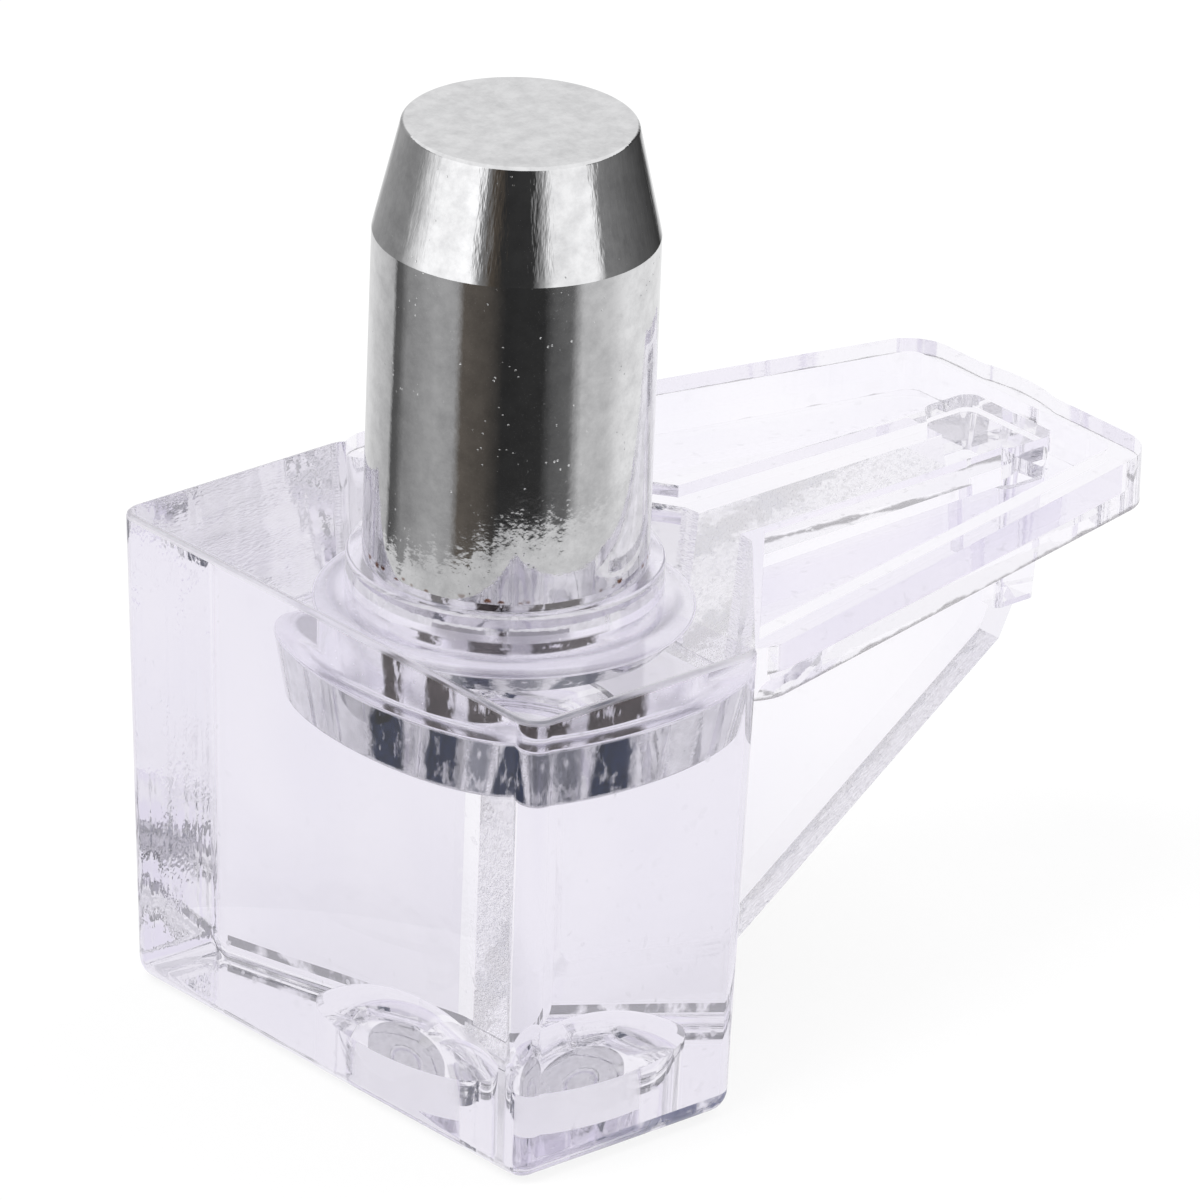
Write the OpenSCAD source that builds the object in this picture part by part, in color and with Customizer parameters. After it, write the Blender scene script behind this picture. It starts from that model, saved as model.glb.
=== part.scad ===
// Shelf support pin: a steel pin set in a clear moulded bracket.
// The origin is on the pin's axis, in the face that lies against the cabinet side.
// +Z runs out along the pin and +X runs down the wall plate, away from the shelf.

/* [Pin] */
// Diameter of the pin, which enters a drilled hole
pin_d = 5; // [4.6:0.1:5.4]
// Length of the pin that stands out of the wall face
pin_l = 8.55; // [6:0.05:12]
// Length of the cone at the pin's tip
tip_l = 2; // [1:0.1:3]
// Diameter of the flat end of the cone
tip_d = 4.1; // [3:0.1:4.5]
// Width of the small bevels on the pin's edges
pin_bevel = 0.06; // [0.02:0.01:0.15]

/* [Pin head] */
// Diameter of the head under the wall face
head_d = 6.7; // [5.8:0.1:6.8]
// Diameter of the head at its lower side
head_foot_d = 6.1; // [5.4:0.1:6.5]
// Thickness of the head
head_t = 1.15; // [0.8:0.05:2]
// Depth of the head's upper side below the wall face
head_depth = 1.25; // [0.8:0.05:2.5]
// Depth of the undercut above the head
neck_cut = 0.2; // [0.2:0.05:0.4]
// Height above the wall face at which the undercut ends, inside the collar
neck_top = 0.35; // [0.35:0.05:0.5]
// Clearance round the metal inside the bracket
seat_gap = 0.02; // [0.01:0.01:0.05]

/* [Collar] */
// Width of the collar round the pin
collar_w = 0.3; // [0.2:0.05:0.8]
// Height of the collar
collar_h = 0.5; // [0.3:0.05:1]
// Height of the collar's outer wall, below its slope
collar_wall = 0.2; // [0.1:0.05:0.28]

/* [Block] */
// Width of the block, along the shelf's edge
block_w = 11.2; // [9:0.1:16]
// Thickness of the block at its sides
block_t = 5.1; // [4:0.1:8]
// Height of the block, from the wall face to its foot
block_h = 9; // [7:0.1:14]
// Distance from the shelf face to the pin's axis
pin_inset = 3.6; // [3.5:0.05:4.5]
// Distance from the pin's axis to the middle of the block's width
block_shift = 0.65; // [-1:0.05:1]
// Length of the wedge behind the block
wedge_l = 3.5; // [2.5:0.05:5]
// Draft angle of the moulded sides
draft = 2; // [0:0.5:3]
// Radius of the block's upright edges and of its foot
corner_r = 0.45; // [0.2:0.05:0.8]
// Width of the bevel round the block's top
top_bevel = 0.1; // [0.05:0.05:0.15]

/* [Recess in the foot] */
// Diameter of the recess
recess_d = 4.4; // [2:0.1:5.5]
// Depth of the recess at its wall
recess_h = 0.8; // [0.3:0.1:2]
// Rise of the domed roof of the recess
recess_dome = 0.7; // [0.2:0.1:1.2]

/* [Wall plate] */
// Distance from the pin's axis to the plate's free end
plate_l = 12.95; // [10:0.05:18]
// Width of the plate at its free end
plate_end_w = 6.6; // [5.5:0.1:9]
// Distance from the pin's axis to the middle of the free end
plate_shift = 0.5; // [-0.8:0.1:0.8]
// Thickness of the plate at its rim
plate_t = 1; // [0.8:0.05:2]
// Thickness of the plate's floor inside the rim
floor_t = 0.25; // [0.2:0.05:0.6]
// Width of the rim
rim_w = 0.6; // [0.4:0.05:1.1]
// Radius of the plate's outer corners
plate_r = 0.9; // [0.2:0.05:1]
// How far the gate mark stands out of the free end
gate_out = 0.14; // [0.05:0.01:0.25]
// Length of the gate mark along the free end
gate_w = 1.9; // [1:0.1:3]
// Distance from the plate's middle line to the gate mark
gate_shift = 0.5; // [-1:0.1:1]

/* [Rib, post and web] */
// Width of the rib where it leaves the block
rib_w = 2.3; // [1.6:0.1:3]
// Width of the rib at its far end
rib_end_w = 1.96; // [1.5:0.02:2.8]
// Gap between the rib's end and the plate's free end
rib_gap = 1.05; // [0.9:0.05:2]
// Length of the post at the rib's end
post_l = 1.25; // [0.9:0.05:2]
// Width of the post
post_w = 2.3; // [1.8:0.05:2.6]
// Length of the post below the plate
post_h = 2.2; // [1:0.05:2.5]
// Radius of the post's corners at the wall face
post_r = 0.3; // [0.2:0.05:0.4]
// Radius of the post's corners at its foot
post_foot_r = 0.12; // [0.08:0.02:0.2]
// Thickness of the web
web_t = 1.1; // [0.6:0.05:1.3]
// Height of the web at its outer end, below the plate
web_h = 3.05; // [2.6:0.05:4]
// Distance from the rib's end to the lower corner of the web's outer end
web_inset = 0.6; // [0.5:0.05:0.8]
// Height of the web's lower end above the block's foot
web_foot = 0.3; // [0.1:0.1:2]

/* [Hidden] */
$fn = 96;
clear = [0.86, 0.85, 0.95, 0.6];
steel = [0.72, 0.72, 0.72];
lap = 0.4;                         // overlap of pieces that are moulded together
cut = 1;                           // how far a cutter runs past the face it opens

lean = tan(draft);                 // inward lean of a drafted side for each mm of height
back_x = block_t - pin_inset;      // rear edge of the block's sides
apex_x = back_x + wedge_l;         // rear end of the wedge
near_y = block_shift - block_w / 2;
far_y = block_shift + block_w / 2;
foot_z = -block_h;

neck_r = pin_d / 2 - neck_cut;
head_top = -head_depth;
head_foot = head_top - head_t;

rib_end = plate_l - rib_gap;
post_end = rib_end - post_r + post_foot_r;   // outer end of the post's foot
post_foot = -plate_t - post_h;
web_end_z = -plate_t - web_h;
gate_r = gate_out / 2 + gate_w * gate_w / (8 * gate_out);   // circle through the gate mark's ends

// One upright edge of the block: its place at the top, and how far it leans in at the foot
module upright(x, y, lean_x, lean_y) {
    fall = block_h - corner_r;
    translate([x, y, -top_bevel])
        cylinder(r1 = corner_r, r2 = corner_r - top_bevel, h = top_bevel, $fn = 32);
    translate([x + lean_x * lean * fall, y + lean_y * lean * fall, -fall])
        sphere(corner_r, $fn = 32);
}

// Solid block with the wedge behind it
module block() {
    front = corner_r - pin_inset;
    rear = back_x - corner_r / 2;
    tail = apex_x - corner_r;
    tail_y = rib_w / 2 - corner_r;
    hull() {
        upright(front, near_y + corner_r, 1, 1);
        upright(front, far_y - corner_r, 1, -1);
        upright(rear, near_y + corner_r, 0, 1);
        upright(rear, far_y - corner_r, 0, -1);
        upright(tail, -tail_y, -1, 0);
        upright(tail, tail_y, -1, 0);
    }
}

// Outline of the plate, inset by the width of its rim or by nothing
module plate_outline(inset) {
    r = max(plate_r - inset, plate_r / 4);
    start = back_x - lap;
    end_half = plate_end_w / 2;
    hull() {
        for (side = [-1, 1]) {
            block_side = block_shift + side * block_w / 2;
            end_side = plate_shift + side * end_half;
            translate([start + r, block_side - side * (inset + r)]) circle(r, $fn = 32);
            translate([plate_l - inset - r, end_side - side * (inset + r)]) circle(r, $fn = 32);
        }
    }
}

// Tapered rib that runs from the wedge to the post
module rib_outline() {
    polygon([
        [back_x, -rib_w / 2], [apex_x, -rib_w / 2],
        [rib_end, -rib_end_w / 2], [rib_end, rib_end_w / 2],
        [apex_x, rib_w / 2], [back_x, rib_w / 2]
    ]);
}

// Wedge in plan, which closes the pocket towards the block
module wedge_outline() {
    polygon([
        [back_x - lap, near_y], [back_x, near_y], [apex_x, -rib_w / 2],
        [apex_x, rib_w / 2], [back_x, far_y], [back_x - lap, far_y]
    ]);
}

// Plate with its pocket, the rib that stands in it and the gate mark on its end
module plate() {
    difference() {
        translate([0, 0, -plate_t]) linear_extrude(plate_t) {
            plate_outline(0);
            intersection() {
                translate([plate_l + gate_out - gate_r, plate_shift + gate_shift]) circle(gate_r);
                translate([plate_l - plate_r, plate_shift + gate_shift - gate_w / 2])
                    square([plate_r + gate_out, gate_w]);
            }
        }
        translate([0, 0, floor_t - plate_t]) linear_extrude(plate_t) difference() {
            plate_outline(rim_w);
            wedge_outline();
            rib_outline();
        }
    }
}

// Post at the rib's end, which narrows from the wall face to its foot
module post() {
    hull() for (x = [rib_end - post_l + post_r, rib_end - post_r], side = [-1, 1])
        translate([x, side * (post_w / 2 - post_r), post_foot])
            cylinder(r1 = post_foot_r, r2 = post_r, h = -post_foot, $fn = 32);
}

// Triangular web between the block, the plate and the post
module web() {
    inner_x = apex_x - lap - wedge_l / 2;
    translate([0, web_t / 2, 0]) rotate([90, 0, 0]) linear_extrude(web_t) polygon([
        [inner_x, -plate_t + floor_t], [post_end, -plate_t + floor_t], [post_end, post_foot],
        [rib_end - web_inset, web_end_z],
        [apex_x - lean * block_h, foot_z + web_foot], [inner_x, foot_z + web_foot]
    ]);
}

// Raised ring round the pin
module collar() {
    r = pin_d / 2 + collar_w;
    rotate_extrude() polygon([
        [0, -lap], [r, -lap], [r, 0], [r - collar_wall / 4, collar_wall],
        [pin_d / 2 + collar_w / 4, collar_h], [0, collar_h]
    ]);
}

// Space that the pin fills inside the bracket
module pin_seat() {
    bore_r = pin_d / 2 + seat_gap;
    rotate_extrude() polygon([
        [0, head_foot], [head_foot_d / 2 + seat_gap, head_foot], [head_d / 2 + seat_gap, head_top],
        [neck_r + seat_gap, head_top], [neck_r + seat_gap, neck_top], [bore_r, neck_top],
        [bore_r, collar_h + cut], [0, collar_h + cut]
    ]);
}

// Round recess with a domed roof, in the block's foot in line with the pin
module foot_recess() {
    ball_r = recess_dome / 2 + recess_d * recess_d / (8 * recess_dome);
    translate([0, 0, foot_z]) {
        translate([0, 0, -cut]) cylinder(d = recess_d, h = cut + recess_h);
        translate([0, 0, recess_h]) intersection() {
            translate([0, 0, recess_dome - ball_r]) sphere(ball_r);
            cylinder(d = recess_d, h = recess_dome + cut);
        }
    }
}

module clear_body() {
    color(clear) difference() {
        union() {
            block();
            plate();
            post();
            web();
            collar();
        }
        pin_seat();
        foot_recess();
    }
}

module steel_pin() {
    r = pin_d / 2;
    tip_r = tip_d / 2;
    shoulder = pin_l - tip_l;
    color(steel) rotate_extrude() polygon([
        [0, head_foot], [head_foot_d / 2, head_foot], [head_d / 2, head_top],
        [neck_r, head_top], [neck_r, neck_top], [r, neck_top], [r, shoulder],
        [tip_r, pin_l - pin_bevel], [tip_r - pin_bevel, pin_l], [0, pin_l]
    ]);
}

clear_body();
steel_pin();
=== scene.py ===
import math

import bmesh
import bpy
from mathutils import Matrix, Vector, noise


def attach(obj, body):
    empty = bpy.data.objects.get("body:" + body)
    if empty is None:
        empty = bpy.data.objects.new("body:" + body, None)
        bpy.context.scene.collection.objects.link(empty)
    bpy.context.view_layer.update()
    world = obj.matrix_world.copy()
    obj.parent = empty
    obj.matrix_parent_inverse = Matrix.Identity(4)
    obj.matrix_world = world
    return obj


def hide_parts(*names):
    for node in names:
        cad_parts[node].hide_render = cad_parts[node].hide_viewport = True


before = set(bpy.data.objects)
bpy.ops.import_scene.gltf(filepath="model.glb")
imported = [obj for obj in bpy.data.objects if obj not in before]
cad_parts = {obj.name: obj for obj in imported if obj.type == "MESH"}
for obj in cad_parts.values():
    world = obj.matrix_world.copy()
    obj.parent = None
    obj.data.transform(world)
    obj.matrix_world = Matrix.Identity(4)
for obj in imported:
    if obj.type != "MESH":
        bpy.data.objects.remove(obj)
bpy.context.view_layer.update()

mm = 0.001
sameFace = math.radians(0.3)      # faces of a hull that turn less than this are one
scene = bpy.context.scene
print("frame loaded")


def circlePoints(x, y, radius, z, count=32):
    return [(x + radius * math.cos(math.tau * i / count),
             y + radius * math.sin(math.tau * i / count), z) for i in range(count)]


def makeObject(name, bm):
    mesh = bpy.data.meshes.new(name)
    bm.to_mesh(mesh)
    bm.free()
    piece = bpy.data.objects.new(name, mesh)
    scene.collection.objects.link(piece)
    return piece


def hullObject(name, points):
    bm = bmesh.new()
    for p in points:
        bm.verts.new(p)
    bmesh.ops.convex_hull(bm, input=bm.verts[:], use_existing_faces=False)
    loose = [v for v in bm.verts if not v.link_faces]
    bmesh.ops.delete(bm, geom=loose, context="VERTS")
    bmesh.ops.dissolve_limit(bm, angle_limit=sameFace, verts=bm.verts[:], edges=bm.edges[:])
    bmesh.ops.recalc_face_normals(bm, faces=bm.faces[:])
    return makeObject(name, bm)


def prismObject(name, outline, low, high, flip=None):
    bm = bmesh.new()
    rings = []
    for h in (low, high):
        rings.append([bm.verts.new(flip(x, y, h) if flip else (x, y, h)) for x, y in outline])
    bm.faces.new(rings[0][::-1])
    bm.faces.new(rings[1])
    n = len(outline)
    for i in range(n):
        j = (i + 1) % n
        bm.faces.new((rings[0][i], rings[0][j], rings[1][j], rings[1][i]))
    bmesh.ops.recalc_face_normals(bm, faces=bm.faces[:])
    return makeObject(name, bm)


def latheObject(name, profile, count):
    bm = bmesh.new()
    rings = []
    for r, z in profile:
        if r < 1e-6:
            rings.append([bm.verts.new((0, 0, z))])
        else:
            rings.append([bm.verts.new(p) for p in circlePoints(0, 0, r, z, count)])
    for a, b in zip(rings, rings[1:]):
        for i in range(count):
            j = (i + 1) % count
            corners = [a[i % len(a)], a[j % len(a)], b[j % len(b)], b[i % len(b)]]
            corners = [v for k, v in enumerate(corners) if v not in corners[:k]]
            bm.faces.new(corners)
    bmesh.ops.recalc_face_normals(bm, faces=bm.faces[:])
    return makeObject(name, bm)


def boolean(target, tool, operation):
    step = target.modifiers.new("step", "BOOLEAN")
    step.operation = operation
    step.solver = "EXACT"
    step.object = tool
    applyModifiers(target)
    bpy.data.objects.remove(tool)


def applyModifiers(piece):
    graph = bpy.context.evaluated_depsgraph_get()
    done = bpy.data.meshes.new_from_object(piece.evaluated_get(graph), depsgraph=graph)
    piece.modifiers.clear()
    old = piece.data
    piece.data = done
    bpy.data.meshes.remove(old)


def roundedProfile(points, count=5):
    # each point is (r, z) or (r, z, corner radius)
    out = []
    for i, p in enumerate(points):
        if len(p) == 2 or p[2] == 0:
            out.append(p[:2])
            continue
        here, before, after = (Vector(points[k][:2]) for k in (i, i - 1, i + 1))
        a, b = (before - here).normalized(), (after - here).normalized()
        half = a.angle(b) / 2
        reach = p[2] / math.tan(half)
        centre = here + (a + b).normalized() * (p[2] / math.sin(half))
        start, end = here + a * reach - centre, here + b * reach - centre
        for k in range(count + 1):
            t = k / count
            step = (start * (1 - t) + end * t).normalized() * p[2] + centre
            out.append((step.x, step.y))
    return out


# sizes in millimetres, in the frame of the CAD
bracket = {
    "blockWidth": 11.2, "blockThick": 5.1, "blockHeight": 9.0, "pinInset": 3.6, "blockShift": 0.65,
    "wedgeLength": 3.5, "draft": 2.0, "cornerRadius": 0.45, "topBevel": 0.1,
    "recessRadius": 2.2, "recessWall": 0.8, "recessDome": 0.7,
    "plateLength": 12.95, "plateEndWidth": 6.6, "plateShift": 0.5, "plateThick": 1.0,
    "plateFloor": 0.25, "rimWidth": 0.6, "plateRadius": 0.9,
    "gateOut": 0.14, "gateWidth": 1.9, "gateShift": 0.5,
    "ribWidth": 2.3, "ribEndWidth": 1.96, "ribGap": 1.05,
    "postLength": 1.25, "postWidth": 2.3, "postBelow": 2.2, "postRadius": 0.3, "postFootRadius": 0.12,
    "webThick": 1.1, "webBelow": 3.05, "webInset": 0.6, "webFoot": 0.3,
    "collarRadius": 2.8, "collarHeight": 0.5, "collarRound": 0.07, "collarRoot": -0.6, "collarLean": 0.02,
    # how far moulded pieces overlap, and how far a cutter runs past the face that it opens
    "lap": 0.4, "gateRoot": 0.5, "cut": 1,
    # steps in each round or arc
    "roundSteps": 48, "postSteps": 32, "bevelSteps": 3, "footSteps": 8, "gateSteps": 6, "domeSteps": 12,
    "collarSteps": 128, "recessSteps": 96,
    # width and steps of the small roundings, and the angles in degrees of flat and of sharp edges
    "edgeRound": 0.05, "edgeSteps": 2, "mergeGap": 0.002, "flatAngle": 0.4, "sharpAngle": 28,
}


def plateOutline(inset):
    b = bracket
    radius = max(b["plateRadius"] - inset, b["plateRadius"] / 4)
    start = b["blockThick"] - b["pinInset"] - b["lap"]
    points = []
    for side in (-1, 1):
        blockSide = b["blockShift"] + side * b["blockWidth"] / 2
        endSide = b["plateShift"] + side * b["plateEndWidth"] / 2
        points.append((start + radius, blockSide - side * (inset + radius), radius))
        points.append((b["plateLength"] - inset - radius, endSide - side * (inset + radius), radius))
    return points


def buildBracket():
    b = bracket
    lean = math.tan(math.radians(b["draft"]))
    backX = b["blockThick"] - b["pinInset"]
    apexX = backX + b["wedgeLength"]
    nearY = b["blockShift"] - b["blockWidth"] / 2
    farY = b["blockShift"] + b["blockWidth"] / 2
    footZ = -b["blockHeight"]
    r, bevel = b["cornerRadius"], b["topBevel"]
    ribHalf, ribEndHalf = b["ribWidth"] / 2, b["ribEndWidth"] / 2

    # block and wedge: upright edges that lean inwards, each with a round foot and a small top bevel
    fall = b["blockHeight"] - r
    edges = [(r - b["pinInset"], nearY + r, 1, 1), (r - b["pinInset"], farY - r, 1, -1),
             (backX - r / 2, nearY + r, 0, 1), (backX - r / 2, farY - r, 0, -1),
             (apexX - r, r - ribHalf, -1, 0), (apexX - r, ribHalf - r, -1, 0)]
    points = []
    for x, y, leanX, leanY in edges:
        for k in range(b["bevelSteps"] + 1):
            t = math.pi / 2 * k / b["bevelSteps"]
            points += circlePoints(x, y, r - bevel * (1 - math.cos(t)), -bevel * (1 - math.sin(t)), b["roundSteps"])
        lowX, lowY = x + leanX * lean * fall, y + leanY * lean * fall
        for k in range(b["footSteps"]):
            t = math.pi / 2 * k / b["footSteps"]
            points += circlePoints(lowX, lowY, r * math.cos(t), -fall - r * math.sin(t), b["roundSteps"])
        points.append((lowX, lowY, footZ))
    body = hullObject("clearBracket", points)

    # wall plate with its pocket, rib and gate mark
    def plateSolid(name, inset, low, high):
        corners = []
        for x, y, radius in plateOutline(inset):
            for z in (low, high):
                corners += circlePoints(x, y, radius, z, b["roundSteps"])
        return hullObject(name, corners)

    plate = plateSolid("plate", 0, -b["plateThick"], 0)
    gateRadius = b["gateOut"] / 2 + b["gateWidth"] ** 2 / (8 * b["gateOut"])
    gateY = b["plateShift"] + b["gateShift"]
    spread = math.asin(b["gateWidth"] / 2 / gateRadius)
    gateX = b["plateLength"] + b["gateOut"] - gateRadius
    steps = b["gateSteps"]
    gate = [(gateX + gateRadius * math.cos(spread * k / steps), gateY + gateRadius * math.sin(spread * k / steps))
            for k in range(-steps, steps + 1)]
    rootX = b["plateLength"] - b["gateRoot"]
    gate += [(rootX, gateY + b["gateWidth"] / 2), (rootX, gateY - b["gateWidth"] / 2)]
    boolean(plate, prismObject("gate", gate, -b["plateThick"], 0), "UNION")
    ribEnd = b["plateLength"] - b["ribGap"]
    pocket = plateSolid("pocket", b["rimWidth"], b["plateFloor"] - b["plateThick"], b["cut"])
    # the wedge and the rib stay full height inside the pocket
    past = b["cut"]
    kept = [(backX - 1.5 * past, nearY - past), (backX, nearY - past), (backX, nearY), (apexX, -ribHalf),
            (ribEnd, -ribEndHalf), (ribEnd, ribEndHalf), (apexX, ribHalf), (backX, farY),
            (backX, farY + past), (backX - 1.5 * past, farY + past)]
    boolean(pocket, prismObject("kept", kept, -3 * past, 2 * past), "DIFFERENCE")
    boolean(plate, pocket, "DIFFERENCE")
    boolean(body, plate, "UNION")

    # post, web and collar
    postFoot = -b["plateThick"] - b["postBelow"]
    pr, pf = b["postRadius"], b["postFootRadius"]
    points = []
    for x in (ribEnd - b["postLength"] + pr, ribEnd - pr):
        for side in (-1, 1):
            y = side * (b["postWidth"] / 2 - pr)
            points += circlePoints(x, y, pr, 0, b["postSteps"]) + circlePoints(x, y, pf, postFoot, b["postSteps"])
    boolean(body, hullObject("post", points), "UNION")
    top = b["plateFloor"] - b["plateThick"]
    innerX, outerX = apexX - b["lap"] - b["wedgeLength"] / 2, ribEnd - pr + pf
    profile = [(innerX, top), (outerX, top), (outerX, postFoot),
               (ribEnd - b["webInset"], -b["plateThick"] - b["webBelow"]),
               (apexX - lean * b["blockHeight"], footZ + b["webFoot"]), (innerX, footZ + b["webFoot"])]
    half = b["webThick"] / 2
    web = prismObject("web", profile, -half, half, lambda x, z, h: (x, h, z))
    boolean(body, web, "UNION")
    collar = latheObject("collar", roundedProfile([
        (0, b["collarRoot"]), (b["collarRadius"], b["collarRoot"]),
        (b["collarRadius"] - b["collarLean"], b["collarHeight"], b["collarRound"]),
        (0, b["collarHeight"])]), b["collarSteps"])
    boolean(body, collar, "UNION")

    # shallow recess in the foot, with a domed roof
    dome = b["recessDome"] / 2 + b["recessRadius"] ** 2 / (2 * b["recessDome"])
    wall = footZ + b["recessWall"]
    roof = [(0, footZ - b["cut"]), (b["recessRadius"], footZ - b["cut"]), (b["recessRadius"], wall)]
    spread = math.asin(b["recessRadius"] / dome)
    for k in reversed(range(b["domeSteps"])):
        t = spread * k / b["domeSteps"]
        roof.append((dome * math.sin(t), wall + b["recessDome"] - dome * (1 - math.cos(t))))
    boolean(body, latheObject("recess", roof, b["recessSteps"]), "DIFFERENCE")
    return body


def finishBracket(body):
    b = bracket
    bm = bmesh.new()
    bm.from_mesh(body.data)
    bmesh.ops.remove_doubles(bm, verts=bm.verts[:], dist=b["mergeGap"])
    bmesh.ops.dissolve_limit(bm, angle_limit=math.radians(b["flatAngle"]), verts=bm.verts[:], edges=bm.edges[:])
    bmesh.ops.recalc_face_normals(bm, faces=bm.faces[:])
    bm.to_mesh(body.data)
    bm.free()
    soft = body.modifiers.new("soft", "BEVEL")
    soft.width = b["edgeRound"]
    soft.segments = b["edgeSteps"]
    soft.limit_method = "ANGLE"
    soft.angle_limit = math.radians(b["sharpAngle"])
    soft.miter_outer = "MITER_ARC"
    applyModifiers(body)
    body.data.shade_smooth()
    even = body.modifiers.new("even", "WEIGHTED_NORMAL")
    even.keep_sharp = True
    applyModifiers(body)
    body.data.transform(Matrix.Scale(mm, 4))
    return body


print("building the bracket")
bracketPiece = finishBracket(buildBracket())


class Wire:
    # a node's socket that takes part in sums and products
    def __init__(self, sheet, socket):
        self.sheet, self.socket = sheet, socket

    def join(self, kind, first, second):
        return self.sheet.math(kind, first, second)

    def __add__(self, other): return self.join("ADD", self, other)
    def __radd__(self, other): return self.join("ADD", other, self)
    def __sub__(self, other): return self.join("SUBTRACT", self, other)
    def __rsub__(self, other): return self.join("SUBTRACT", other, self)
    def __mul__(self, other): return self.join("MULTIPLY", self, other)
    def __rmul__(self, other): return self.join("MULTIPLY", other, self)


class Sheet:
    # one node tree, for a material, the world or a turned shape
    def __init__(self, name, tree=None):
        if tree is None:
            self.material = bpy.data.materials.new(name)
            self.material.use_nodes = True
            self.material.cycles.emission_sampling = "NONE"     # its glow isn't sampled as a lamp
            tree = self.material.node_tree
        self.tree = tree
        self.tree.nodes.clear()

    def add(self, kind, settings=None, inputs=None, output=0):
        node = self.tree.nodes.new(kind)
        for key, value in (settings or {}).items():
            if key == "stops":
                ramp = node.color_ramp
                while len(ramp.elements) < len(value):
                    ramp.elements.new(0.5)
                for element, (place, colour) in zip(ramp.elements, value):
                    element.position = place
                    element.color = colour
            elif key == "items":
                while len(node.index_switch_items) < value:
                    node.index_switch_items.new()
            else:
                setattr(node, key, value)
        for key, value in (inputs or {}).items():
            if isinstance(value, Wire):
                self.tree.links.new(value.socket, node.inputs[key])
            else:
                node.inputs[key].default_value = value
        return Wire(self, node.outputs[output]) if len(node.outputs) else None

    def math(self, kind, first, second):
        return self.add("ShaderNodeMath", {"operation": kind}, {0: first, 1: second})

    def light(self, name):
        return self.add("ShaderNodeLightPath", output=name)

    def place(self, scale=(1, 1, 1)):
        where = self.add("ShaderNodeTexCoord", output=3)
        return self.add("ShaderNodeMapping", {}, {0: where, 3: scale})

    def along(self, where, axis):
        return self.add("ShaderNodeSeparateXYZ", {}, {0: where}, axis)

    def noise(self, where, scale, detail=2.0, rough=0.5):
        return self.add("ShaderNodeTexNoise", {}, {
            "Vector": where, "Scale": scale, "Detail": detail, "Roughness": rough})

    def cells(self, where, scale):
        return self.add("ShaderNodeTexVoronoi", {"feature": "F1"}, {"Vector": where, "Scale": scale})

    def ramp(self, value, *stops):
        colours = [(place, (c, c, c, 1) if isinstance(c, float) else c) for place, c in stops]
        return self.add("ShaderNodeValToRGB", {"stops": colours}, {0: value})

    def blend(self, factor, first, second):
        return self.add("ShaderNodeMix", {"data_type": "RGBA"}, {0: factor, 6: first, 7: second}, 2)

    def bump(self, height, depth, normal=None):
        inputs = {"Strength": 1.0, "Distance": depth, "Height": height}
        if normal is not None:
            inputs["Normal"] = normal
        return self.add("ShaderNodeBump", {}, inputs)

    def finish(self, surface):
        self.add("ShaderNodeOutputMaterial", {}, {"Surface": surface})
        return self.material


pin = {
    "radius": 2.5, "length": 8.55, "tipLength": 2.0, "tipRadius": 2.05, "edgeRound": 0.05,
    "shoulderRound": 0.25, "tipRound": 0.08,
    "headRadius": 3.35, "headFootRadius": 3.05, "headTop": -1.25, "headThick": 1.15,
    "neckRadius": 2.3, "neckTop": 0.35, "turns": 160, "roundSteps": 5, "mergeGap": 0.0005,
}


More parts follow.
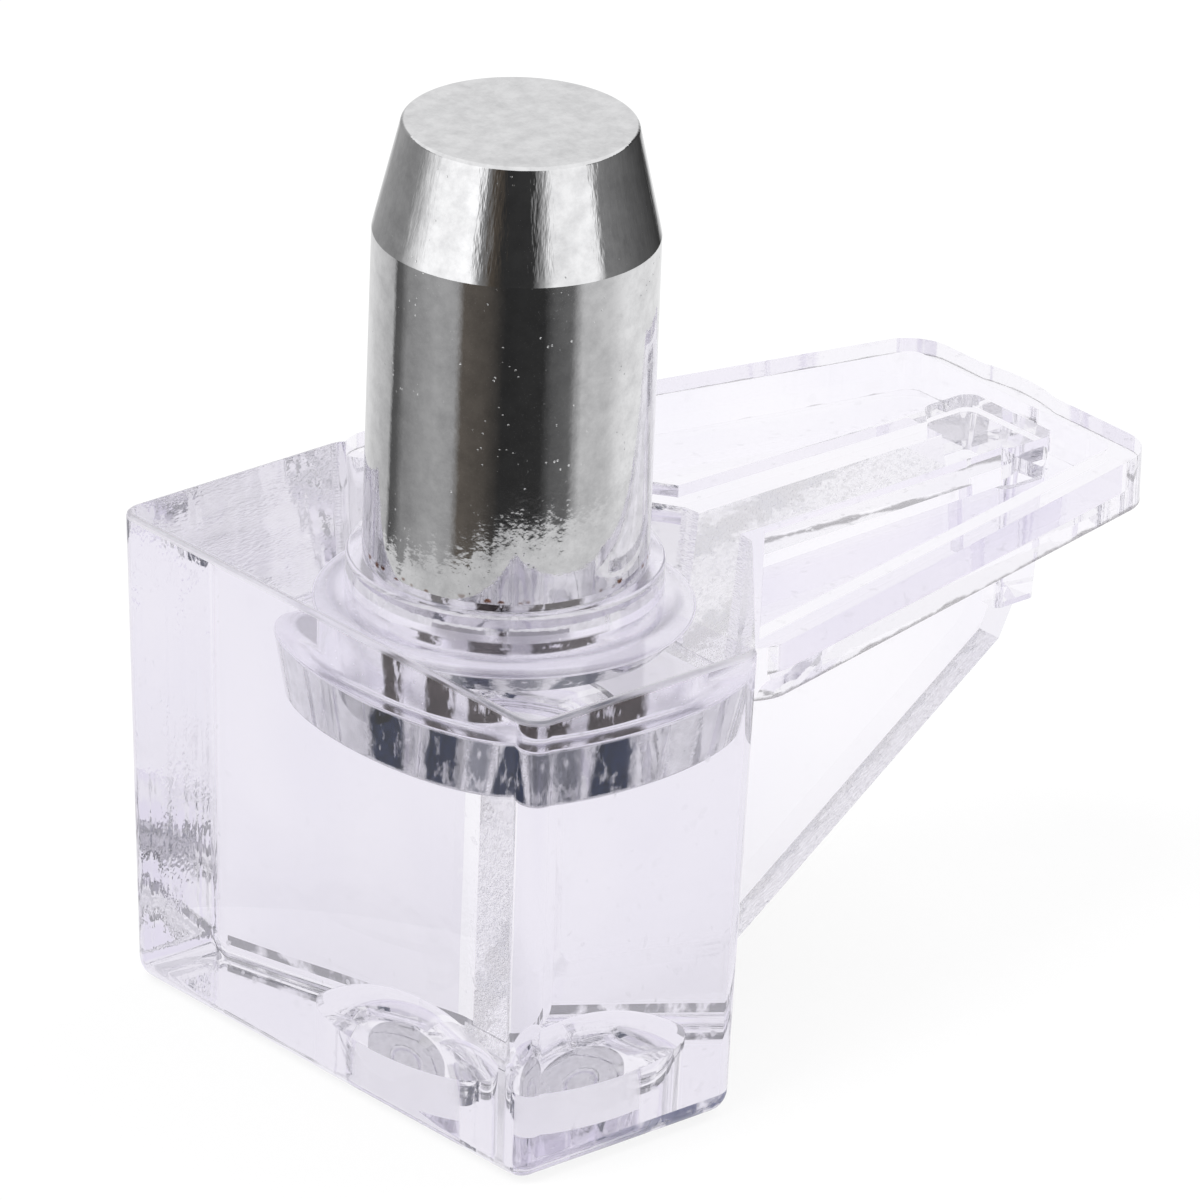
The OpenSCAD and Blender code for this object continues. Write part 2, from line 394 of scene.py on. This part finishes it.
def turnedTree(sizes):
    # a profile drawn from the sizes, rounded at its corners and turned about the Z axis
    sheet = Sheet("turnedPin", bpy.data.node_groups.new("turnedPin", "GeometryNodeTree"))
    for name in sizes:
        kind = "NodeSocketInt" if name in ("turns", "roundSteps") else "NodeSocketFloat"
        sheet.tree.interface.new_socket(name=name, in_out="INPUT", socket_type=kind)
    sheet.tree.interface.new_socket(name="metal", in_out="INPUT", socket_type="NodeSocketMaterial")
    sheet.tree.interface.new_socket(name="Geometry", in_out="OUTPUT", socket_type="NodeSocketGeometry")
    g = {name: sheet.add("NodeGroupInput", output=name) for name in [*sizes, "metal"]}
    foot = g["headTop"] - g["headThick"]
    corners = [
        (0.0, foot, 0.0), (g["headFootRadius"], foot, g["edgeRound"]),
        (g["headRadius"], g["headTop"], g["edgeRound"]), (g["neckRadius"], g["headTop"], 0.0),
        (g["neckRadius"], g["neckTop"], 0.0), (g["radius"], g["neckTop"], g["edgeRound"]),
        (g["radius"], g["length"] - g["tipLength"], g["shoulderRound"]),
        (g["tipRadius"], g["length"], g["tipRound"]), (0.0, g["length"], 0.0)]
    count = len(corners)
    index = sheet.add("GeometryNodeInputIndex")
    places = {0: index}
    rounds = {0: index}
    for k, (r, z, corner) in enumerate(corners):
        # the sweep runs along a circle of the pin's radius, so the profile is measured from it
        places[str(k)] = sheet.add("ShaderNodeCombineXYZ", {}, {0: r - g["radius"], 1: 0.0 - z})
        rounds[str(k)] = corner
    line = sheet.add("GeometryNodeMeshLine", {}, {"Count": count})
    place = sheet.add("GeometryNodeIndexSwitch", {"data_type": "VECTOR", "items": count}, places)
    line = sheet.add("GeometryNodeSetPosition", {}, {"Geometry": line, "Position": place})
    profile = sheet.add("GeometryNodeMeshToCurve", {}, {"Mesh": line})
    corner = sheet.add("GeometryNodeIndexSwitch", {"data_type": "FLOAT", "items": count}, rounds)
    profile = sheet.add("GeometryNodeFilletCurve", {"mode": "POLY"}, {
        "Curve": profile, "Count": g["roundSteps"], "Radius": corner})
    ring = sheet.add("GeometryNodeCurvePrimitiveCircle", {}, {"Resolution": g["turns"], "Radius": g["radius"]})
    solid = sheet.add("GeometryNodeCurveToMesh", {}, {"Curve": ring, "Profile Curve": profile})
    solid = sheet.add("GeometryNodeMergeByDistance", {}, {"Geometry": solid, "Distance": g["mergeGap"]})
    solid = sheet.add("GeometryNodeSetShadeSmooth", {}, {"Geometry": solid})
    solid = sheet.add("GeometryNodeRealizeInstances", {}, {"Geometry": solid})
    solid = sheet.add("GeometryNodeSetMaterial", {}, {"Geometry": solid, "Material": g["metal"]})
    sheet.add("NodeGroupOutput", {}, {"Geometry": solid})
    return sheet.tree


def buildPin(metal):
    piece = makeObject("steelPin", bmesh.new())
    tree = turnedTree(pin)
    turned = piece.modifiers.new("turned", "NODES")
    turned.node_group = tree
    for item in tree.interface.items_tree:
        if item.in_out == "INPUT":
            turned[item.identifier] = metal if item.name == "metal" else pin[item.name]
    applyModifiers(piece)
    bm = bmesh.new()
    bm.from_mesh(piece.data)
    bmesh.ops.recalc_face_normals(bm, faces=bm.faces[:])
    bm.to_mesh(piece.data)
    bm.free()
    even = piece.modifiers.new("even", "WEIGHTED_NORMAL")
    even.keep_sharp = False
    applyModifiers(piece)
    piece.data.transform(Matrix.Scale(mm, 4))
    return piece



plastic = {
    "ior": 1.585, "polish": 0.02,
    # light and deep tints, deeper in the thick block than in the thin plate and web; the pale pair, used on the
    # wedge's end wall, is a painted brightening
    "thick": [(0.815, 0.79, 0.87, 1), (0.785, 0.76, 0.85, 1)],
    "thin": [(0.93, 0.915, 0.955, 1), (0.90, 0.885, 0.94, 1)],
    "pale": [(1.0, 1.0, 1.0, 1), (0.97, 0.965, 1.0, 1)], "cloudScale": 300.0,
    "waveScale": 500.0, "waveDepth": 0.000004, "speckScale": 4200.0, "speckRough": 0.2, "wornRough": 0.4,
    "drawScale": 2600.0, "drawStretch": 0.06, "sideDraw": 0.000012, "endDraw": 0.000008,
    "rippleScale": 8000.0, "sideRipple": 0.000008, "endRipple": 0.000016, "calmScale": 700.0,
}


def clearSurface(sheet, where, normal, rough, tint):
    light, deep = plastic[tint]
    cloud = sheet.noise(where, plastic["cloudScale"], 1.0)
    return sheet.add("ShaderNodeBsdfPrincipled", {}, {
        "Base Color": sheet.blend(sheet.ramp(cloud, (0.4, 0.0), (0.65, 1.0)), light, deep),
        "Roughness": rough, "IOR": plastic["ior"], "Transmission Weight": 1.0, "Normal": normal})


def polishedPlastic(name, tint, rough=0.0):
    p = plastic
    sheet = Sheet(name)
    where = sheet.place()
    normal = sheet.bump(sheet.noise(where, p["waveScale"], 0.0), p["waveDepth"])
    specks = sheet.ramp(sheet.noise(where, p["speckScale"], 0.0), (0.74, 0.0), (0.79, 1.0))
    return sheet.finish(clearSurface(sheet, where, normal, specks * p["speckRough"] + rough, tint))


def rippledPlastic(name, tint, drawDepth, rippleDepth, calm):
    # long draw marks down the wall, and ripples that leave a share of it calm
    p = plastic
    sheet = Sheet(name)
    where = sheet.place()
    drawn = sheet.noise(sheet.place((1, 1, p["drawStretch"])), p["drawScale"], 1.0)
    normal = sheet.bump(drawn, drawDepth)
    fine = sheet.noise(where, p["rippleScale"], 1.0)
    patches = sheet.ramp(sheet.noise(where, p["calmScale"], 1.0), (calm, 0.15), (calm + 0.22, 1.0))
    normal = sheet.bump(fine * patches, rippleDepth, normal)
    return sheet.finish(clearSurface(sheet, where, normal, p["polish"], tint))


# navy, brown, line and flecks set the painted shade along the web's lower edge
webGrainAndShade = {
    "scale": 13000.0, "depth": 0.00003, "rough": 0.12, "darkRough": 0.35,
    "raggedScale": 3500.0, "ragged": 0.6, "fleckScale": 7500.0, "shadeToneScale": 1800.0,
    "navy": (0.012, 0.03, 0.13, 1), "brown": (0.09, 0.055, 0.04, 1),
    "line": 0.2, "flecks": 0.12,
}


def grainedPlastic():
    # sparkling grain, with painted shade: a faint ragged dark line along one side of the web and dark flecks
    g = webGrainAndShade
    sheet = Sheet("grainedPlastic")
    where = sheet.place()
    normal = sheet.bump(sheet.noise(where, g["scale"], 2.0, 0.7), g["depth"])
    clear = clearSurface(sheet, where, normal, g["rough"], "thin")
    # painted shade: a ragged dark line and dark flecks, navy and brown, along the edge
    ragged = sheet.noise(where, g["raggedScale"], 3.0, 0.7)
    line = sheet.ramp(sheet.along(where, 1) * 400.0 + ragged * g["ragged"], (0.365, 0.0), (0.415, 1.0))
    flecks = sheet.ramp(sheet.noise(where, g["fleckScale"], 3.0, 0.75), (0.52, 0.0), (0.56, 1.0))
    shadeTone = sheet.ramp(sheet.noise(where, g["shadeToneScale"], 1.0), (0.45, 0.0), (0.55, 1.0))
    paintedShade = sheet.add("ShaderNodeBsdfPrincipled", {}, {
        "Base Color": sheet.blend(shadeTone, g["navy"], g["brown"]), "Roughness": g["darkRough"], "Normal": normal})
    cover = sheet.math("MAXIMUM", line * g["line"], flecks * g["flecks"])
    return sheet.finish(sheet.add("ShaderNodeMixShader", {}, {0: cover, 1: clear, 2: paintedShade}))


plateRim = {
    "scale": 6500.0, "depth": 0.0000025, "stretch": 0.04, "raggedScale": 1500.0, "ragged": 0.2,
    "dark": (0.06, 0.045, 0.05, 1), "darkRough": 0.4, "line": 0.5,
}


def rimPlastic():
    # the plate's outer wall: fine lines along it, and painted shade as a dark lower edge
    r = plateRim
    sheet = Sheet("rimPlastic")
    where = sheet.place()
    normal = sheet.bump(sheet.noise(sheet.place((r["stretch"], r["stretch"], 1)), r["scale"], 2.0), r["depth"])
    clear = clearSurface(sheet, where, normal, plastic["polish"], "thin")
    ragged = sheet.noise(where, r["raggedScale"], 3.0, 0.6)
    # painted shade: a ragged dark band along the wall's lower edge
    line = sheet.ramp(sheet.along(where, 2) * -800.0 + ragged * r["ragged"], (0.835, 0.0), (0.87, 1.0))
    dark = sheet.add("ShaderNodeBsdfPrincipled", {}, {"Base Color": r["dark"], "Roughness": r["darkRough"]})
    return sheet.finish(sheet.add("ShaderNodeMixShader", {}, {0: line * r["line"], 1: clear, 2: dark}))


footShade = {
    "dark": (0.02, 0.025, 0.06, 1), "navy": (0.06, 0.07, 0.18, 1), "rough": 0.3, "patchScale": 1500.0,
    "strength": 0.6,
}


def shadedPlastic(name, bare):
    # painted shade on the roundings: dark lines through the block, and a navy band on the near side of its foot
    f = footShade
    sheet = Sheet(name)
    where = sheet.place()
    normal = sheet.bump(sheet.noise(where, plastic["drawScale"], 1.0), plastic["sideDraw"])
    clear = clearSurface(sheet, where, normal, plastic["polish"], "thick")
    shade = sheet.add("ShaderNodeBsdfPrincipled", {}, {
        "Base Color": f["navy"] if bare else f["dark"], "Roughness": f["rough"]})
    cover = sheet.ramp(sheet.noise(where, f["patchScale"], 3.0, 0.6), (0.38, 0.1), (0.5, 1.0))
    if bare:
        cover = cover * sheet.ramp(sheet.along(where, 0) * 200.0 + 0.7, (0.3, 0.0), (0.75, 0.85))
    else:
        cover = cover * f["strength"]
    return sheet.finish(sheet.add("ShaderNodeMixShader", {}, {0: cover, 1: clear, 2: shade}))


steel = {
    "light": (0.82, 0.82, 0.83, 1), "dull": (0.64, 0.64, 0.65, 1), "cloudScale": 2600.0,
    "rough": 0.02, "dullRough": 0.05, "pitRough": 0.1, "satinRough": 0.15,
    "grainScale": 3600.0, "grainDepth": 0.0000016, "fineScale": 11000.0, "fineDepth": 0.0000006,
    "pitScale": 7000.0, "pitDepth": 0.000003, "pitPatchScale": 1500.0,
    "streakScale": 5200.0, "streakStretch": 0.07, "streakDepth": 0.0000005, "coneStreakDepth": 0.000007,
    "rust": (0.22, 0.11, 0.07, 1), "rustScale": 5200.0, "rustGapScale": 900.0,
    # headDark and neckDark are the colours of the painted reflections on the head and neck
    "headTop": (0.97, 0.96, 1.0, 1), "headDark": (0.018, 0.028, 0.07, 1), "neckDark": (0.045, 0.03, 0.03, 1),
    "mottleScale": 3000.0, "mottleStretch": 0.4, "headWander": 0.03, "neckWander": 0.04,
    # share of the way round the pin, and how dark the painted reflection is there
    "neckBands": [(0.02, 0.0), (0.028, 0.95), (0.05, 0.95), (0.058, 0.0), (0.094, 0.0), (0.10, 0.95), (0.139, 0.95),
                  (0.147, 0.1), (0.17, 0.1), (0.18, 0.95), (0.25, 0.95), (0.262, 0.0)],
    "headBands": [(0.0, 0.0), (0.024, 0.0), (0.030, 1.0), (0.061, 1.0), (0.067, 0.0), (0.088, 0.0), (0.094, 1.0),
                  (0.125, 1.0), (0.131, 0.0), (0.142, 0.0), (0.148, 0.7), (0.166, 0.7), (0.172, 0.0), (0.180, 0.0),
                  (0.186, 1.0), (0.222, 1.0), (0.230, 0.0), (0.62, 0.0), (0.63, 0.9), (0.67, 0.9), (0.68, 0.0)],
}


def platedSteel():
    p = steel
    sheet = Sheet("platedSteel")
    where = sheet.place()
    cloud = sheet.noise(where, p["cloudScale"], 6.0, 0.72)
    tint = sheet.blend(sheet.ramp(cloud, (0.38, 0.0), (0.68, 1.0)), p["light"], p["dull"])
    height = sheet.along(where, 2)
    below = height * -400.0      # 0.4 for each millimetre below the wall face
    # the neck and the head's upper side are satin
    satin = sheet.ramp(below + 0.2, (0.19, 0.0), (0.2, 1.0), (0.712, 1.0), (0.718, 0.0))
    tint = sheet.blend(satin, tint, p["headTop"])
    # painted reflections: dark upright bands on the head's side, and dark patches on the neck
    mottle = sheet.noise(sheet.place((1, 1, p["mottleStretch"])), p["mottleScale"], 3.0, 0.7)
    around = sheet.add("ShaderNodeTexGradient", {"gradient_type": "RADIAL"}, {0: where}, 1)
    bands = sheet.ramp(around + (mottle - 0.5) * p["headWander"], *p["headBands"])
    bands = bands * sheet.ramp(mottle, (0.36, 0.35), (0.45, 1.0))
    head = sheet.ramp(below, (0.51, 0.0), (0.53, 1.0), (0.93, 1.0), (0.945, 0.0))
    tint = sheet.blend(head * bands, tint, p["headDark"])
    reach = sheet.add("ShaderNodeVectorMath", {"operation": "LENGTH"}, {0: sheet.place((1, 1, 0))}, 1)
    neck = sheet.ramp(below, (0.04, 0.0), (0.07, 1.0), (0.53, 1.0), (0.56, 0.0))
    neck = neck * sheet.ramp(reach * 200.0, (0.465, 1.0), (0.475, 0.0))
    patched = sheet.ramp(around + (mottle - 0.5) * p["neckWander"], *p["neckBands"])
    patched = patched * sheet.ramp(mottle, (0.36, 0.2), (0.44, 1.0))
    tint = sheet.blend(neck * patched, tint, p["neckDark"])
    # a row of rust specks just above the collar
    spots = sheet.cells(where, p["rustScale"])
    row = sheet.ramp(height * 400.0, (0.245, 0.0), (0.26, 1.0), (0.285, 1.0), (0.30, 0.0))
    gaps = sheet.ramp(sheet.noise(where, p["rustGapScale"], 0.0), (0.42, 0.0), (0.5, 1.0))
    tint = sheet.blend(row * sheet.ramp(spots, (0.28, 1.0), (0.42, 0.0)) * gaps, tint, p["rust"])
    # pits in patches, streaks along the pin that deepen on the cone, and two sizes of grain
    pits = sheet.ramp(sheet.cells(where, p["pitScale"]), (0.07, 1.0), (0.15, 0.0))
    patches = sheet.ramp(sheet.noise(where, p["pitPatchScale"], 1.0), (0.56, 0.0), (0.66, 1.0))
    cone = sheet.ramp(height * 100.0, (0.66, 0.0), (0.68, 1.0))
    streaks = sheet.noise(sheet.place((1, 1, p["streakStretch"])), p["streakScale"], 3.0, 0.6)
    normal = sheet.bump(streaks, p["streakDepth"])
    normal = sheet.bump(streaks * cone, p["coneStreakDepth"], normal)
    normal = sheet.bump(sheet.noise(where, p["grainScale"], 2.0, 0.6), p["grainDepth"], normal)
    normal = sheet.bump(sheet.noise(where, p["fineScale"], 2.0, 0.6), p["fineDepth"], normal)
    normal = sheet.bump(1.0 - pits * patches, p["pitDepth"], normal)
    rough = cloud * p["dullRough"] + (pits * p["pitRough"] + (satin * p["satinRough"] + p["rough"]))
    return sheet.finish(sheet.add("ShaderNodeBsdfPrincipled", {}, {
        "Base Color": tint, "Metallic": 1.0, "Roughness": rough, "Normal": normal}))


print("making the materials and the pin")
finishes = {
    "block": polishedPlastic("clearBlock", "thick"),
    "side": rippledPlastic("rippledSide", "thick", plastic["sideDraw"], plastic["sideRipple"], 0.4),
    "grain": grainedPlastic(),
    "thin": polishedPlastic("clearPlate", "thin"),
    "edge": shadedPlastic("shadedEdge", False),
    "rim": rimPlastic(),
    # the end wall's pale tint is painted light that brightens the band seen through it
    "end": rippledPlastic("rippledEnd", "pale", plastic["endDraw"], plastic["endRipple"], 0.2),
    "foot": shadedPlastic("navyFoot", True),
    "worn": polishedPlastic("wornEdge", "thin", plastic["wornRough"]),
}
bracketPiece.data.materials.clear()
for material in finishes.values():
    bracketPiece.data.materials.append(material)
pinPiece = buildPin(platedSteel())

# where each finish lies on the bracket, in millimetres
zones = {
    "webStart": 1.2, "webTop": -3.5, "endReach": 0.6, "belowPlate": -1.1, "plateFoot": -1.01,
    "endRim": 12.3, "sideRim": 2.9, "farSide": 0.4, "footRound": 0.42, "footPast": 0.2,
    "recessLow": 0.7, "recessHigh": 0.93, "recessFar": 0.4, "recessEnd": 3.0,
    "navyHeight": 0.45, "navySide": -4.0, "wornDepth": -0.12,
}


def finishOf(face):
    # chosen by where the face lies and which way it looks
    z = zones
    n, c = face.normal, face.center / mm
    backX = bracket["blockThick"] - bracket["pinInset"]
    apexX = backX + bracket["wedgeLength"]
    aside = c.y - bracket["blockShift"]
    rise = c.z + bracket["blockHeight"]
    farWay = Vector((0.665, 0.747, 0))      # towards the recess's far half
    if n.x > 0.4 and n.z < -0.4 and abs(n.y) < 0.1 and c.x > apexX - z["webStart"] and c.z < z["webTop"]:
        return "grain"
    if n.x > 0.75 and n.z > -0.2 and apexX - z["endReach"] < c.x < apexX + 0.1 and c.z < z["belowPlate"]:
        return "end"
    if n.y > 0.9 and aside > bracket["blockWidth"] / 2 - z["farSide"] and c.z < z["belowPlate"] and c.x < apexX:
        return "side"
    if -0.52 < n.z < -0.2 and c.x > backX + z["footPast"] and rise < z["footRound"]:
        return "edge"
    if (-0.86 < n.z < -0.2 and z["recessLow"] < rise < z["recessHigh"]
            and c.dot(farWay) > z["recessFar"] and c.x < z["recessEnd"]):
        return "edge"
    if n.y < -0.3 and -0.8 < n.z < -0.05 and rise < z["navyHeight"] and c.y < z["navySide"]:
        return "foot"
    if z["wornDepth"] < c.z < -0.0005 and 0.2 < n.z < 0.97:
        return "worn"
    onPlate = c.x > backX and c.z > z["plateFoot"]
    outer = n.x < 0.5 and abs(aside) > z["sideRim"] and n.y * aside > 0
    if onPlate and abs(n.z) < 0.5 and (c.x > z["endRim"] and n.x > 0.3 or outer):
        return "rim"
    if c.x > apexX or c.z > 0.01 or onPlate and n.z <= 0.9:
        return "thin"
    return "block"


slots = list(finishes)
for face in bracketPiece.data.polygons:
    face.material_index = slots.index(finishOf(face))

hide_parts("clear_body")
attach(bracketPiece, "root")
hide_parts("steel_pin")
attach(pinPiece, "root")

studio = {
    "floorSize": 1.6, "floorGap": 0.00002, "floorColour": (0.9, 0.9, 0.9, 1), "floorGlow": 0.86, "worldFill": 0.55,
    # the lens: bearings in degrees, distance and slides in millimetres
    "azimuth": -41.703, "elevation": 24.441, "roll": 2.148,
    "distance": 267.6, "lens": 463.4, "slideX": -1.6488, "slideY": 0.3963,
    # how the dark sheets turn pale, by a tenth of the number of times that light has met a surface
    "refractedFade": [(0.32, 0.42), (0.38, 1.0)], "mirroredFade": [(0.22, 0.0), (0.28, 1.0)],
    "paleSheet": (0.92, 0.90, 0.97, 1), "cardStep": 1.5,
    # coarse and fine wander of the dark floor sheet's edge: millimetres, waves for each degree, place in the noise
    "wander": [(0.8, 0.13, 0, 5), (0.6, 0.4, 3, 0)],
}


def towards(azimuth, elevation):
    a, e = math.radians(azimuth), math.radians(elevation)
    return Vector((math.sin(a) * math.cos(e), -math.cos(a) * math.cos(e), math.sin(e)))


def seenDirectly(sheet):
    # one where a ray comes from the lens, a reflection or a refraction
    total = sheet.light("Is Camera Ray") + sheet.light("Is Glossy Ray") + sheet.light("Is Transmission Ray")
    return sheet.math("MINIMUM", total, 1.0)


def buildStudio():
    s = studio
    bm = bmesh.new()
    bmesh.ops.create_circle(bm, cap_ends=True, segments=96, radius=s["floorSize"])
    floor = makeObject("floor", bm)
    floor.data.transform(Matrix.Translation((0, 0, -bracket["blockHeight"] * mm - s["floorGap"])))
    sheet = Sheet("paleFloor")
    plain = sheet.add("ShaderNodeBsdfDiffuse", {}, {"Color": s["floorColour"]})
    glow = sheet.add("ShaderNodeEmission", {}, {"Color": (1, 1, 1, 1), "Strength": 1.0})
    floor.data.materials.append(sheet.finish(sheet.add("ShaderNodeMixShader", {}, {
        0: seenDirectly(sheet) * s["floorGlow"], 1: plain, 2: glow})))

    world = bpy.data.worlds.new("studioWorld")
    world.use_nodes = True
    scene.world = world
    sheet = Sheet("world", world.node_tree)
    strength = seenDirectly(sheet) * (1.0 - s["worldFill"]) + s["worldFill"]
    sheet.add("ShaderNodeOutputWorld", {}, {"Surface": sheet.add("ShaderNodeBackground", {}, {
        "Color": (1, 1, 1, 1), "Strength": strength})})


def areaLamp(name, azimuth, elevation, distance, size, power):
    lamp = bpy.data.lights.new(name, "AREA")
    lamp.shape = "DISK"
    lamp.size = size
    lamp.energy = power
    lampObject = bpy.data.objects.new(name, lamp)
    scene.collection.objects.link(lampObject)
    way = towards(azimuth, elevation)
    lampObject.visible_glossy = False
    lampObject.visible_transmission = False
    lampObject.matrix_world = Matrix.Translation(way * distance) @ way.to_track_quat("Z", "Y").to_matrix().to_4x4()


def between(value, pairs):
    for (a, first), (b, second) in zip(pairs, pairs[1:]):
        if value <= b:
            return first + (second - first) * max(0, value - a) / (b - a)
    return pairs[-1][1]


def card(name, sweep, low, high, shades, mirrored, refracted):
    # a sheet about the pin that only reflections or refractions see, shaded by its bearing from the lens
    bm = bmesh.new()
    steps = round((sweep[1] - sweep[0]) / studio["cardStep"])
    rows = ([], [])
    for k in range(steps + 1):
        bearing = sweep[0] + (sweep[1] - sweep[0]) * k / steps
        for row, (radius, height) in zip(rows, (low, high)):
            if not isinstance(radius, float):
                # an edge that follows a table and wanders a little
                radius = between(bearing, radius) + sum(
                    size * noise.noise(Vector((bearing * waves, y, z))) for size, waves, y, z in studio["wander"])
            spot = towards(studio["azimuth"] + bearing, 0) * radius * mm
            row.append(bm.verts.new((spot.x, spot.y, height * mm)))
    for k in range(steps):
        bm.faces.new((rows[0][k], rows[0][k + 1], rows[1][k + 1], rows[1][k]))
    bmesh.ops.remove_doubles(bm, verts=bm.verts[:], dist=1e-6)
    piece = makeObject(name, bm)
    sheet = Sheet(name)
    turn = math.radians(studio["azimuth"] - 90)      # the gradient starts along +X
    where = sheet.add("ShaderNodeTexCoord", output=3)
    where = sheet.add("ShaderNodeMapping", {}, {0: where, 2: (0, 0, -turn)})
    bearing = sheet.add("ShaderNodeTexGradient", {"gradient_type": "RADIAL"}, {0: where}, 1)
    shade = sheet.ramp(bearing, *[(degrees / 360 + 0.5, shade) for degrees, shade in shades])
    # light that has crossed the plastic several times finds the sheet pale
    fade = studio["refractedFade"] if refracted else studio["mirroredFade"]
    shade = sheet.blend(sheet.ramp(sheet.light("Ray Depth") * 0.1, *fade), shade, studio["paleSheet"])
    piece.data.materials.append(sheet.finish(sheet.add("ShaderNodeEmission", {}, {"Color": shade, "Strength": 1.0})))
    piece.visible_camera = False
    piece.visible_diffuse = False
    piece.visible_shadow = False
    piece.visible_glossy = mirrored
    piece.visible_transmission = refracted


def buildCamera():
    s = studio
    back = towards(s["azimuth"], s["elevation"])
    right = (-back).cross(Vector((0, 0, 1))).normalized()
    up = right.cross(-back)
    c, d = math.cos(math.radians(s["roll"])), math.sin(math.radians(s["roll"]))
    across, rise = c * right + d * up, c * up - d * right
    camera = bpy.data.cameras.new("camera")
    camera.sensor_width = 36
    camera.lens = s["lens"]
    camera.clip_start = 0.01
    camera.clip_end = 20
    cameraObject = bpy.data.objects.new("camera", camera)
    scene.collection.objects.link(cameraObject)
    place = Matrix((across, rise, back)).transposed().to_4x4()
    place.translation = (back * s["distance"] - across * s["slideX"] - rise * s["slideY"]) * mm
    cameraObject.matrix_world = place
    scene.camera = cameraObject


print("building the studio")
buildStudio()
buildCamera()
areaLamp("keyLamp", studio["azimuth"] - 60, 60, distance=0.5, size=0.35, power=2.0)
areaLamp("fillLamp", studio["azimuth"] + 120, 50, distance=0.5, size=0.4, power=1.6)

# shades of the sheets by bearing in degrees, and in floorEdge how far from the pin the dark floor sheet begins
floorShades = [(-150, 0.8), (-120, 0.6), (-108, 0.5), (-104, 0.1), (-98, 0.12), (-90, 0.28), (-60, 0.42), (-44, 0.38),
               (-38, (0.125, 0.11, 0.095, 1)), (-20, (0.09, 0.08, 0.07, 1)), (-6, 0.03), (24, 0.035), (32, 0.11),
               (46, 0.15), (56, 0.6), (80, 0.65), (100, 0.9)]
wallShades = [(-170, 0.86), (-155, 0.4), (-112, 0.28), (-98, 0.3), (-84, 0.76), (-74, 1.15), (-34, 1.25), (-27, 0.25),
              (-18, (0.09, 0.075, 0.06, 1)), (-8, 0.035), (14, 0.04), (22, 0.4), (30, 1.05), (66, 1.12), (74, 0.25),
              (110, 0.13), (150, 0.04), (166, 0.86)]
nearShades = [(-170, 0.9), (-120, 0.8), (-60, 0.62), (-20, 0.6), (40, 0.72), (100, 0.8), (160, 0.9)]
floorEdge = [(-180, 22), (-118, 22), (-110, 24.2), (-88, 23.7), (-72, 24.5), (-36, 25), (-23, 25.7), (8, 26.7),
             (180, 27)]
# radius and height of the sheets' edges in millimetres
nearEdge, innerEdge, farEdge = (9.0, -8.95), (40.0, -8.95), (42.0, -8.87)
wallFoot, wallTop = (118.0, -8.8), (118.0, 78)
allRound, front = (-180, 180), (-45, 45)
card("nearFloorCard", allRound, nearEdge, innerEdge, nearShades, True, False)
card("floorCard", allRound, (floorEdge, -8.9), farEdge, floorShades, True, False)
card("farFloorCard", allRound, farEdge, wallFoot, wallShades, True, False)
card("wallCard", allRound, wallFoot, wallTop, wallShades, True, False)
card("frontFloorCard", front, (floorEdge, -8.9), wallFoot, floorShades, False, True)
card("frontWallCard", front, wallFoot, wallTop, wallShades, False, True)

scene.view_settings.view_transform = "Standard"
# light crosses the clear plastic many times before it leaves
scene.cycles.max_bounces = 80
scene.cycles.glossy_bounces = 72
scene.cycles.transmission_bounces = 72

print("finishing")
